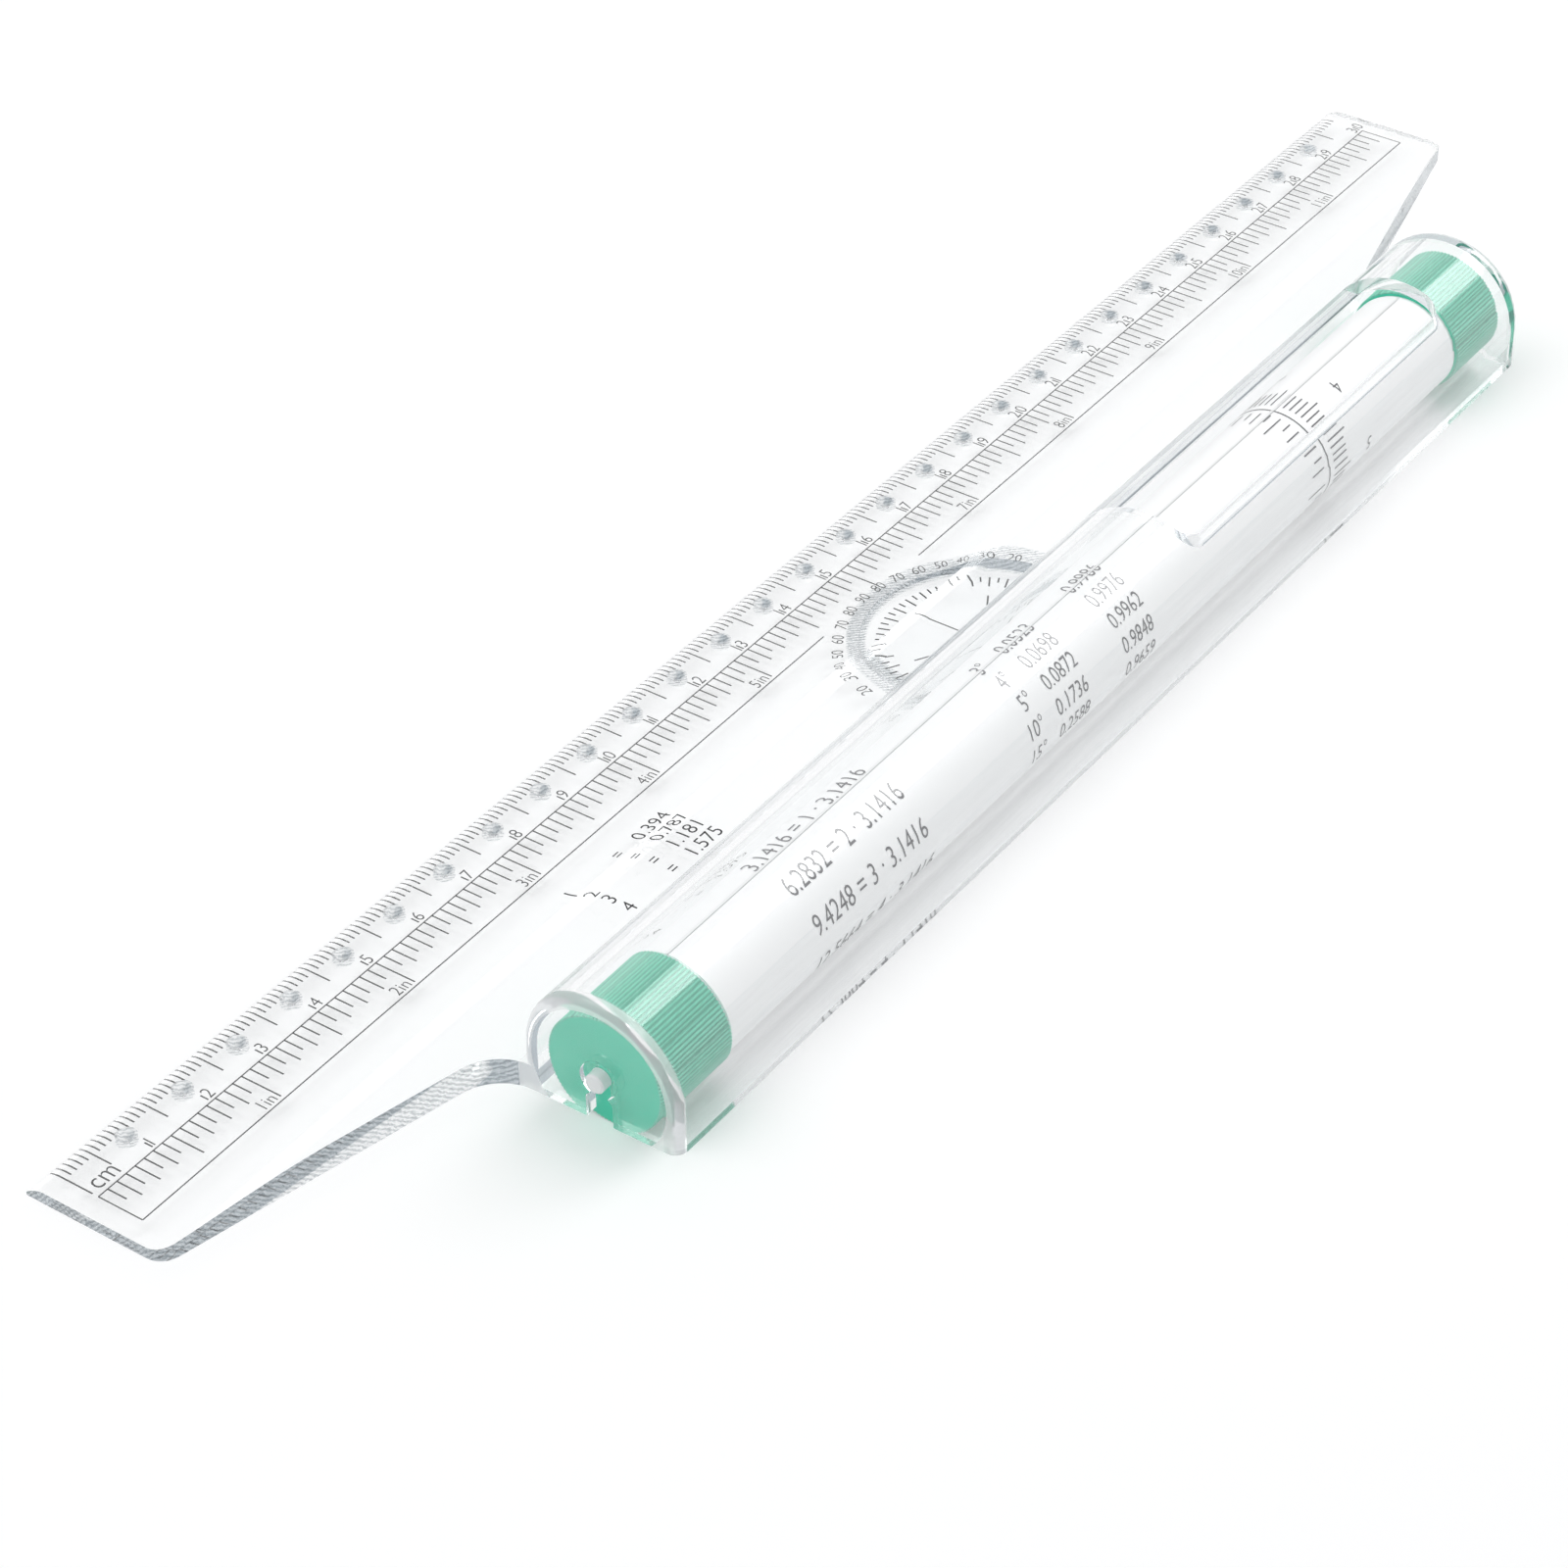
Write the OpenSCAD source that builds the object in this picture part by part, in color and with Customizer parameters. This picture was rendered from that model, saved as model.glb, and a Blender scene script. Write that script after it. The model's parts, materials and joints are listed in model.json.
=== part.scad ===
// Rolling ruler: a clear blade and roller housing moulded in one, and a roller of
// five pieces that snaps into it from below.
// X runs along the ruler, +Y points to the bevelled edge, Z is up. The origin is the
// middle of the ruler's box at the height of the lowest points of the two wheels.

/* [Blade] */
// Length of the graduated scale
scale_l = 300; // [230:10:400]
// Plain blade past each end of the scale
scale_margin = 3; // [2:0.2:8]
// Thickness of the blade
blade_t = 1.8; // [1.4:0.1:3]
// Width from the bevelled nose to the housing's back wall
blade_w = 36.2; // [35:0.2:50]
// Width of the blade at its two ends
end_w = 21.1; // [18:0.1:28]
// Width at which the slanted edge would reach the housing's end
shoulder_w = 32.4; // [30:0.2:34]
// Radius of the hollow curve between that edge and the housing's end
hollow_r = 7; // [4:0.5:9]
// Thickness of the blade's root, beside the housing
root_t = 3.9; // [3:0.1:4.5]
// Distance from the nose to the start of the rise to the root
root_start = 19.2; // [18:0.2:22]
// Length of that rise
root_rise = 7.5; // [4:0.5:9]
// Radius of the two outer corners
corner_r = 3; // [1:0.5:5]
// Width of the bevel along the graduated edge
bevel_w = 2.8; // [2:0.1:4]
// Thickness left at the nose of the bevel
nose_t = 0.5; // [0.3:0.1:1]
// Rise of the bevel's rounding over its chord
bevel_bulge = 0.25; // [0.1:0.05:0.4]

/* [Pencil holes] */
// Distance between two pencil holes
hole_pitch = 10; // [10:5:20]
// Diameter of a pencil hole
hole_d = 1.2; // [0.8:0.1:1.6]
// Diameter of its countersink
hole_sink_d = 2.2; // [1.8:0.1:2.6]
// Depth of its countersink
hole_sink_t = 0.8; // [0.4:0.1:1]
// Distance from the nose to the row of holes
hole_inset = 4.1; // [4:0.1:5.5]

/* [Protractor] */
// Diameter of the round recess with the protractor
recess_d = 34; // [24:0.5:36]
// Depth of that recess below the blade's top
recess_t = 0.8; // [0.2:0.1:1]
// Distance from the housing's back wall to the protractor's centre
recess_gap = 2.4; // [1:0.2:5]

/* [Roller housing] */
// Length of the housing over its end walls
housing_l = 210; // [180:1:220]
// Width of the housing, which is also its arch's diameter
housing_w = 23.4; // [22:0.2:28]
// Thickness of the housing's wall
housing_wall = 1.9; // [1.4:0.1:2.2]
// Thickness of an end wall
end_t = 1.9; // [1.6:0.1:2.6]
// Radius of the round rims of the housing's two ends
rim_r = 1.8; // [0.8:0.1:2.4]
// Length of the reading window
window_l = 71; // [40:1:80]
// Distance from the ruler's middle to the window's middle
window_x = 53; // [40:1:57]
// Distance from the roller's axis to the window's front edge
window_front = 7; // [4:0.1:8]
// Height of the window's rear sill over the roller's axis
window_sill = 7.2; // [5:0.1:8]
// Radius of the window's front corners
window_r = 3; // [1:0.5:5]
// Width of the roller's entry slot in an end wall
slot_w = 4; // [3.6:0.1:5]
// Height of the wide part of that slot
slot_h = 3.4; // [3:0.1:4]
// Width of the neck that the pin snaps through
neck_w = 2.5; // [2.2:0.1:2.7]
// Diameter of the round recess round the pin
rebate_d = 5.4; // [4.6:0.1:6]
// Depth of that recess
rebate_t = 0.7; // [0.3:0.1:1]

/* [Roller] */
// Diameter of a wheel over its ribs
wheel_d = 16.8; // [16:0.2:17.6]
// Width of a wheel
wheel_w = 12.2; // [8:0.2:14]
// How far the wheels stand below the underside
wheel_drop = 1.9; // [1:0.1:2.2]
// Ribs round a wheel
rib_count = 96; // [48:4:120]
// Depth of the grooves between the ribs
rib_t = 0.15; // [0.05:0.05:0.3]
// Thickness of a wheel's outer face
wheel_web = 1.6; // [1:0.1:2.5]
// Free space between an end wall and a wheel
wheel_gap = 0.4; // [0.3:0.1:1]
// Diameter of the drum over its printed sleeve
drum_d = 16; // [14.8:0.2:16.4]
// Thickness of the printed sleeve
sleeve_t = 0.2; // [0.1:0.05:0.4]
// Open seam where the sleeve's two edges meet
sleeve_seam = 0.3; // [0.2:0.1:1]
// How far the sleeve stops short of each wheel
sleeve_short = 0.6; // [0.2:0.1:3]
// Direction in which the seam points at rest
seam_angle = 84; // [0:1:359]
// Wall of the drum's tube
tube_wall = 1.2; // [0.8:0.1:1.6]
// Length of an end plug inside the tube
plug_l = 8; // [4:0.5:14]
// Wall of an end plug, which is hollow
plug_wall = 1.4; // [1:0.1:2]
// Diameter of the spigot that carries a wheel
spigot_d = 10; // [7:0.2:11]
// Diameter of an axle pin
pin_d = 2.8; // [2.7:0.1:3.2]
// Clearance all round the pin in its seat
pin_clear = 0.07; // [0.04:0.01:0.1]
// How far the pin stands out of the end wall
pin_out = 0.9; // [0.2:0.1:2]
// Chamfer at the pin's tip
pin_chamfer = 0.25; // [0.1:0.05:0.4]

/* [Hidden] */
$fn = 96;
eps = 0.01;
body_l = scale_l + 2 * scale_margin;
body_w = blade_w + housing_w;
// Edges of the body in Y
nose_y = body_w / 2;
back_y = nose_y - blade_w;
front_y = -nose_y;
// Heights
under_z = wheel_drop;
top_z = under_z + blade_t;
root_z = under_z + root_t;
axis_z = wheel_d / 2;
// The housing
axis_y = (back_y + front_y) / 2;
arch_r = housing_w / 2;
cavity_r = arch_r - housing_wall;
housing_x = housing_l / 2;
cavity_x = housing_x - end_t;
// The roller, from its middle outwards
drum_x = cavity_x - wheel_gap - wheel_w;
wheel_x = cavity_x - wheel_gap;
tube_r = drum_d / 2 - sleeve_t;
bore_r = tube_r - tube_wall;
spigot_x = wheel_x - wheel_web;
pin_x = housing_x + pin_out;
sleeve_x = drum_x - sleeve_short;

// Points of an arc from angle a0 to a1, both ends included
function arc(centre, r, a0, a1, steps = 12) =
    [for (i = [0:steps]) let (a = a0 + (a1 - a0) * i / steps) centre + r * [cos(a), sin(a)]];

// Half of the blade's outline, for X over 0: nose, end, round corner, slanted edge,
// and the hollow curve that ends at the housing's end wall
function blade_half() =
    let (end_x = body_l / 2,
         end_y = nose_y - end_w,
         shoulder_y = nose_y - shoulder_w,
         slope = (end_y - shoulder_y) / (end_x - housing_x),
         a = atan(slope),
         // Corner circle, tangent to the end and to the slanted edge
         corner_c = [end_x - corner_r,
                     end_y - slope * corner_r + corner_r / cos(a)],
         // Hollow circle, tangent to the slanted edge and to the housing's end
         hollow_c = [housing_x + hollow_r,
                     shoulder_y + slope * hollow_r - hollow_r / cos(a)])
    concat([[0, nose_y], [end_x, nose_y]],
           arc(corner_c, corner_r, 0, a - 90),
           arc(hollow_c, hollow_r, 90 + a, 180),
           [[housing_x, back_y - rim_r], [0, back_y - rim_r]]);

// The rise from the blade's top to the root's top, a smooth wave as Y and Z
function root_wave(steps = 10) =
    [for (i = [0:steps])
        [nose_y - root_start - root_rise * (1 - i / steps),
         top_z + (root_z - top_z) * (1 + cos(180 * i / steps)) / 2]];

// The blade's section, as Y and Z: flat underside, root, rise, top and bevel
function blade_section() =
    let (crest = [nose_y - bevel_w, top_z],
         tip = [nose_y, under_z + nose_t],
         chord = norm(tip - crest),
         r = (chord * chord / 4 + bevel_bulge * bevel_bulge) / (2 * bevel_bulge),
         middle = (crest + tip) / 2,
         normal = [crest[1] - tip[1], tip[0] - crest[0]] / chord,
         centre = middle - normal * (r - bevel_bulge),
         a0 = atan2(crest[1] - centre[1], crest[0] - centre[0]),
         a1 = atan2(tip[1] - centre[1], tip[0] - centre[0]))
    concat([[nose_y, under_z], [front_y, under_z], [front_y, root_z]],
           root_wave(), arc(centre, r, a0, a1, 8));

// Extrudes a section given in Y and Z along X, from x0 to x1
module along_x(x0, x1) {
    translate([x0, 0, 0])
        rotate([90, 0, 90])
            linear_extrude(x1 - x0)
                children();
}

// A cylinder along X on the roller's axis
module axial(r, x0, x1) {
    translate([x0, axis_y, axis_z])
        rotate([0, 90, 0])
            cylinder(r = r, h = x1 - x0);
}

// A D-shaped section over the roller's axis, with upright walls down to height z0
module d_section(r, z0) {
    intersection() {
        translate([axis_y, axis_z])
            circle(r = r);
        translate([axis_y - r, axis_z - eps])
            square([2 * r, r + eps]);
    }
    translate([axis_y - r, z0])
        square([2 * r, axis_z - z0]);
}

// Half the housing's length section, from its middle out: a strip as wide as the arch's
// radius, with two round outer corners
module length_section() {
    square([arch_r - rim_r, housing_l], center = false);
    translate([0, rim_r])
        square([arch_r, housing_l - 2 * rim_r]);
    for (y = [rim_r, housing_l - rim_r])
        translate([arch_r - rim_r, y])
            circle(r = rim_r);
}

// The housing's outer form: an arch over upright walls, its end rims rounded
module housing() {
    translate([-housing_x, axis_y, axis_z])
        rotate([90, 0, 90])
            rotate_extrude(angle = 180)
                length_section();
    translate([-housing_x, axis_y, under_z])
        linear_extrude(axis_z - under_z)
            for (side = [0, 1])
                mirror([0, side])
                    rotate(90)
                        mirror([0, 1])
                            length_section();
}

module blade() {
    intersection() {
        linear_extrude(root_z + eps)
            polygon(blade_half());
        along_x(0, body_l)
            polygon(blade_section());
    }
}

module pencil_holes() {
    for (x = [hole_pitch:hole_pitch:scale_l - hole_pitch])
        translate([x - scale_l / 2, nose_y - hole_inset, 0]) {
            cylinder(d = hole_d, h = top_z + eps, $fn = 24);
            translate([0, 0, top_z - hole_sink_t])
                cylinder(d1 = hole_d, d2 = hole_sink_d, h = hole_sink_t, $fn = 24);
        }
}

// Round recess for the protractor, which ends at the housing's back wall
module protractor_recess() {
    intersection() {
        translate([0, back_y + recess_gap, top_z - recess_t])
            cylinder(d = recess_d, h = root_z);
        translate([-recess_d, back_y, 0])
            cube([2 * recess_d, blade_w, top_z + 1]);
    }
}

// The entry slot in Y and Z: wide at the foot, then a neck, then the pin's round seat
module entry_slot() {
    taper = (slot_w - neck_w) / 2;
    translate([axis_y, axis_z])
        circle(r = pin_d / 2 + pin_clear);
    translate([axis_y - slot_w / 2, 0])
        square([slot_w, under_z + slot_h]);
    translate([axis_y, under_z + slot_h])
        polygon([[-slot_w / 2, -eps], [slot_w / 2, -eps], [neck_w / 2, taper],
                 [neck_w / 2, axis_z - under_z - slot_h],
                 [-neck_w / 2, axis_z - under_z - slot_h], [-neck_w / 2, taper]]);
}

// Everything between the front edge and the axis, with round front corners, and over
// the rear sill behind the axis
module reading_window() {
    front = axis_y - window_front;
    translate([window_x - window_l / 2, axis_y - eps, axis_z + window_sill])
        cube([window_l, housing_w, arch_r]);
    translate([window_x - window_l / 2, front + window_r, axis_z])
        cube([window_l, window_front - window_r, arch_r + 1]);
    translate([window_x - window_l / 2 + window_r, front, axis_z])
        cube([window_l - 2 * window_r, window_front, arch_r + 1]);
    for (side = [-1, 1])
        translate([window_x + side * (window_l / 2 - window_r), front + window_r, axis_z])
            cylinder(r = window_r, h = arch_r + 1);
}

module ruler_body() {
    color("aliceblue", 0.5)
    difference() {
        union() {
            blade();
            mirror([1, 0, 0])
                blade();
            housing();
        }
        along_x(-cavity_x, cavity_x)
            d_section(cavity_r, 0);
        along_x(-housing_x - eps, housing_x + eps)
            entry_slot();
        axial(rebate_d / 2, -housing_x - eps, -housing_x + rebate_t);
        axial(rebate_d / 2, housing_x - rebate_t, housing_x + eps);
        reading_window();
        pencil_holes();
        protractor_recess();
    }
}

module drum_tube() {
    color("white")
    difference() {
        axial(tube_r, -drum_x, drum_x);
        axial(bore_r, -drum_x - eps, drum_x + eps);
    }
}

module scale_sleeve() {
    color("whitesmoke")
    difference() {
        axial(tube_r + sleeve_t, -sleeve_x, sleeve_x);
        axial(tube_r, -sleeve_x - eps, sleeve_x + eps);
        translate([0, axis_y, axis_z])
            rotate([seam_angle, 0, 0])
                translate([-drum_x, 0, -sleeve_seam / 2])
                    cube([2 * drum_x, drum_d, sleeve_seam]);
    }
}

// White plug in the drum's right end: hollow body, spigot and chamfered axle pin
module end_plug() {
    color("white")
    difference() {
        union() {
            axial(bore_r, drum_x - plug_l, drum_x);
            axial(spigot_d / 2, drum_x - eps, spigot_x);
            axial(pin_d / 2, spigot_x - eps, pin_x - pin_chamfer);
            translate([pin_x - pin_chamfer, axis_y, axis_z])
                rotate([0, 90, 0])
                    cylinder(r1 = pin_d / 2, r2 = pin_d / 2 - pin_chamfer, h = pin_chamfer);
        }
        axial(spigot_d / 2 - plug_wall, drum_x - plug_l - eps, spigot_x - plug_wall);
    }
}

// Ribbed wheel on the right spigot, closed by its outer face
module wheel() {
    pitch = 360 / rib_count;
    outer = wheel_d / 2;
    rim = [for (i = [0:rib_count - 1], s = [0:3])
        let (r = s < 2 ? outer : outer - rib_t, a = (i + s / 4) * pitch)
        [axis_y + r * cos(a), axis_z + r * sin(a)]];
    color("mediumaquamarine")
    difference() {
        along_x(drum_x, wheel_x)
            polygon(rim);
        axial(spigot_d / 2, drum_x - eps, spigot_x);
        axial(pin_d / 2, spigot_x - eps, wheel_x + eps);
    }
}

module end_plug_left() { mirror([1, 0, 0]) end_plug(); }
module end_plug_right() { end_plug(); }
module wheel_left() { mirror([1, 0, 0]) wheel(); }
module wheel_right() { wheel(); }

ruler_body();
drum_tube();
scale_sleeve();
end_plug_left();
end_plug_right();
wheel_left();
wheel_right();
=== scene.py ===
"""Looks of the rolling ruler: clear body, printed scales, white roller and green wheels.

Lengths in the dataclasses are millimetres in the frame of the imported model, and MM turns
them into Blender's metres. X runs along the ruler, +Y points to the bevelled edge, Z is up.
"""

import json
import logging
import math
from dataclasses import dataclass, field
from enum import Enum
from typing import Callable, ClassVar

import bmesh
import bpy
import numpy as np
from mathutils import Matrix, Vector

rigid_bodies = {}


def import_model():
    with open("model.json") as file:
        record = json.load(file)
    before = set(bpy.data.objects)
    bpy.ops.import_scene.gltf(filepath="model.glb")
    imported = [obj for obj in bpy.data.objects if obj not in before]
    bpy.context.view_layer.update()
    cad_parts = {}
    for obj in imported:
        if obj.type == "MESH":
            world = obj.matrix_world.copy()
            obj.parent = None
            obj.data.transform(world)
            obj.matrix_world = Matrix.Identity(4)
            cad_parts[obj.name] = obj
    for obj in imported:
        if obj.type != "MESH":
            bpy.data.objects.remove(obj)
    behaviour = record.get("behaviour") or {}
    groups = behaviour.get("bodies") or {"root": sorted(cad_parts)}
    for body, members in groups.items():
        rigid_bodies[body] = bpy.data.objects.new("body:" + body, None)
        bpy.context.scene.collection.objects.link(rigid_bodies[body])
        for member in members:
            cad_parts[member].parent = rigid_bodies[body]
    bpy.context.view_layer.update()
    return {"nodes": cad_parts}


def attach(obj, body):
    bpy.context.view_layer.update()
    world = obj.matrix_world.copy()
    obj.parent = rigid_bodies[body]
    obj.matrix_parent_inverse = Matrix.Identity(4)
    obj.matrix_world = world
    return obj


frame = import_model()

MM = 0.001
INCH = 25.4
ROLLER_AXIS = (-18.1, 8.4)  # y and z of the roller's axis
NUMBER, COLOUR = "NodeSocketFloat", "NodeSocketColor"
WHITE = (1.0, 1.0, 1.0, 1.0)
Colour = tuple[float, float, float]
Socket = bpy.types.NodeSocket
Feeds = dict[str | int, object]
log = logging.getLogger("rolling_ruler")


class Body(Enum):
    """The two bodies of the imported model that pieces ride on."""

    RULER = "ruler"
    ROLLER = "roller"


class Anchor(Enum):
    """Which share of a word's length lies before the place it is written at."""

    START = 0.0
    MIDDLE = 0.5
    END = 1.0


# ---------------------------------------------------------------- shared shader groups


class NodeBench:
    """Adds nodes and links to one node tree with few words."""

    def __init__(self, tree: bpy.types.NodeTree) -> None:
        """Keeps the tree that nodes are added to."""
        self.tree = tree

    def feed(self, node: bpy.types.Node, feeds: Feeds) -> None:
        """Links a node's inputs to sockets, or gives them plain values.

        Args:
            node: The node.
            feeds: Sockets and plain values, by the input's name or number.
        """
        for slot, value in feeds.items():
            if isinstance(value, Socket):
                self.tree.links.new(value, node.inputs[slot])
            else:
                node.inputs[slot].default_value = value

    def add(self, kind: str, feeds: Feeds | None = None, **values: object) -> bpy.types.Node:
        """Adds one node, sets its properties and feeds its inputs.

        Args:
            kind: The node's type name.
            feeds: Sockets and plain values, by the input's name or number.
            values: Properties of the node, by name.

        Returns:
            The new node.
        """
        node = self.tree.nodes.new(kind)
        for name, value in values.items():
            setattr(node, name, value)
        self.feed(node, feeds or {})
        return node

    def here(self) -> Socket:
        """Gives the place on the object, in its own coordinates."""
        return self.add("ShaderNodeTexCoord").outputs["Object"]

    def math(self, operation: str, first: object, second: object = 0.0) -> Socket:
        """Adds a Math node for two sockets or numbers and gives its result."""
        return self.add("ShaderNodeMath", {0: first, 1: second},
                        operation=operation).outputs[0]

    def _fold(self, operation: str, values: tuple[object, ...]) -> Socket:
        """Joins the first two values by an operation, then the result and the next one.

        Args:
            operation: The Math node's operation.
            values: Two or more sockets or numbers.

        Returns:
            The result.
        """
        total = values[0]
        for value in values[1:]:
            total = self.math(operation, total, value)
        return total

    def times(self, *values: object) -> Socket:
        """Multiplies sockets and numbers: of masks, only what they share is left."""
        return self._fold("MULTIPLY", values)

    def most(self, *values: object) -> Socket:
        """Takes the largest of sockets and numbers: of masks, all their places."""
        return self._fold("MAXIMUM", values)

    def less(self, first: object, second: object) -> Socket:
        """Takes the second socket or number from the first."""
        return self.math("SUBTRACT", first, second)

    def spread(self, value: Socket, low: float, high: float, start: float = 0.0,
               end: float = 1.0) -> Socket:
        """Turns the stretch from low to high into start to end, and holds past them.

        Args:
            value: The value that is turned.
            low: Lower end of the stretch.
            high: Upper end of the stretch.
            start: What the lower end becomes.
            end: What the upper end becomes.

        Returns:
            The result.
        """
        feeds = {"Value": value, "From Min": low, "From Max": high, "To Min": start,
                 "To Max": end}
        return self.add("ShaderNodeMapRange", feeds).outputs["Result"]

    def band(self, value: Socket, middle: float, half: float, soft: float) -> Socket:
        """Makes a mask that is 1 near a middle value and falls to 0 past its half width.

        Args:
            value: The value that is judged.
            middle: Middle of the band.
            half: How far from the middle the mask is whole.
            soft: Over how much more it fades.

        Returns:
            The mask.
        """
        away = self.math("ABSOLUTE", self.less(value, middle))
        return self.spread(away, half, half + soft, 1.0, 0.0)

    def span(self, value: Socket, ends: tuple[float, float], soft: float) -> Socket:
        """Makes a mask of the values between two ends that fades past them."""
        return self.band(value, sum(ends) / 2, (ends[1] - ends[0]) / 2, soft)

    def distance(self, x: Socket, y: Socket, centre: tuple[float, float]) -> Socket:
        """Gives the distance from a centre: the root of the sum of the squares.

        Args:
            x: First coordinate.
            y: Second coordinate.
            centre: Both coordinates of the centre.

        Returns:
            The distance.
        """
        away = self.less(x, centre[0]), self.less(y, centre[1])
        squares = [self.times(part, part) for part in away]
        return self.math("SQRT", self.math("ADD", *squares))

    def stretch(self, place: Socket, scale: tuple[float, ...], turn: float = 0.0) -> Socket:
        """Scales a place along each axis, after a turn about Z in radians."""
        feeds = {"Vector": place, "Rotation": (0.0, 0.0, turn), "Scale": scale}
        return self.add("ShaderNodeMapping", feeds).outputs["Vector"]

    def noise(self, place: Socket, scale: object, detail: float,
              distortion: float = 0.0) -> Socket:
        """Adds a noise of a scale, with its detail and distortion, and gives its value.

        Args:
            place: Where it is read.
            scale: Its scale, a socket or a number.
            detail: Its detail.
            distortion: Its distortion.

        Returns:
            The noise.
        """
        feeds = {"Vector": place, "Scale": scale, "Detail": detail, "Distortion": distortion}
        return self.add("ShaderNodeTexNoise", feeds).outputs["Fac"]

    def blend(self, share: object, first: object, second: object,
              kind: str = "RGBA") -> Socket:
        """Mixes two colours, or with the kind FLOAT two numbers, by a share.

        Args:
            share: How much of the second there is.
            first: A socket or a plain value.
            second: A socket or a plain value.
            kind: The Mix node's data type.

        Returns:
            The mixture.
        """
        return self.add("ShaderNodeMix", {"Factor": share, "A": first, "B": second},
                        data_type=kind).outputs["Result"]

    def join(self, share: Socket, first: Socket, second: Socket) -> Socket:
        """Mixes two shaders by a share."""
        return self.add("ShaderNodeMixShader",
                        {"Fac": share, 1: first, 2: second}).outputs["Shader"]


def start_group(name: str, inputs: dict[str, float | tuple[float, ...]],
                outputs: dict[str, str]) -> tuple[NodeBench, bpy.types.Node, bpy.types.Node]:
    """Starts a shader node group with named sockets.

    Args:
        name: The group's name.
        inputs: Starting value by input name, a number or a colour.
        outputs: Socket type by output name.

    Returns:
        The bench of the group's tree, its input node and its output node.
    """
    tree = bpy.data.node_groups.new(name, "ShaderNodeTree")
    for label, value in inputs.items():
        kind = COLOUR if isinstance(value, tuple) else NUMBER
        socket = tree.interface.new_socket(label, in_out="INPUT", socket_type=kind)
        socket.default_value = value
    for label, kind in outputs.items():
        tree.interface.new_socket(label, in_out="OUTPUT", socket_type=kind)
    bench = NodeBench(tree)
    return bench, bench.add("NodeGroupInput"), bench.add("NodeGroupOutput")


@dataclass(frozen=True)
class Handling:
    """Smudges and hairlines of a handled plastic surface, as a roughness."""

    smudge_detail: float = 3.0
    hairline_detail: float = 1.0
    hairline_sets: tuple[tuple[float, tuple[float, float, float]], ...] = (
        (0.35, (40.0, 2600.0, 900.0)), (-0.9, (60.0, 2200.0, 900.0)))
    crest: tuple[float, float] = (0.7, 0.78)

    def build(self) -> bpy.types.NodeTree:
        """Builds the group.

        A soft noise gives the smudges. Two very stretched noises, one turned across the
        other, give hairline scratches, and only their sharpest crests are kept.

        Returns:
            The node group.
        """
        bench, inp, out = start_group(
            "handling", {"Plain": 0.1, "Smudge": 0.05, "Hairline": 0.03,
                         "Smudge Scale": 60.0}, {"Roughness": NUMBER})
        place = bench.here()
        smudge = bench.noise(place, inp.outputs["Smudge Scale"], self.smudge_detail)
        crests = []
        for turn, scale in self.hairline_sets:
            lines = bench.noise(bench.stretch(place, scale, turn), 1.0, self.hairline_detail)
            crests.append(bench.spread(lines, *self.crest))
        soft = bench.times(bench.less(smudge, 0.5), inp.outputs["Smudge"])
        sharp = bench.times(bench.most(*crests), inp.outputs["Hairline"])
        total = bench.math("ADD", bench.math("ADD", inp.outputs["Plain"], soft), sharp)
        bench.feed(out, {"Roughness": bench.most(total, 0.0)})
        return bench.tree


@dataclass(frozen=True)
class Moulding:
    """Colour of a moulded plastic that drifts a little, with fine grain in its height."""

    drift_detail: float = 2.0
    grain_detail: float = 2.0

    def build(self) -> bpy.types.NodeTree:
        """Builds the group.

        A wide noise moves between the plain and the deep colour, and a fine noise gives
        the grain that the mould leaves.

        Returns:
            The node group.
        """
        bench, inp, out = start_group(
            "moulding", {"Plain Colour": (0.8, 0.8, 0.8, 1.0),
                         "Deep Colour": (0.7, 0.7, 0.7, 1.0),
                         "Drift Scale": 90.0, "Grain Scale": 2500.0},
            {"Color": COLOUR, "Height": NUMBER})
        place = bench.here()
        drift = bench.noise(place, inp.outputs["Drift Scale"], self.drift_detail)
        colour = bench.blend(drift, inp.outputs["Plain Colour"], inp.outputs["Deep Colour"])
        grain = bench.noise(place, inp.outputs["Grain Scale"], self.grain_detail)
        bench.feed(out, {"Color": colour, "Height": grain})
        return bench.tree


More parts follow.
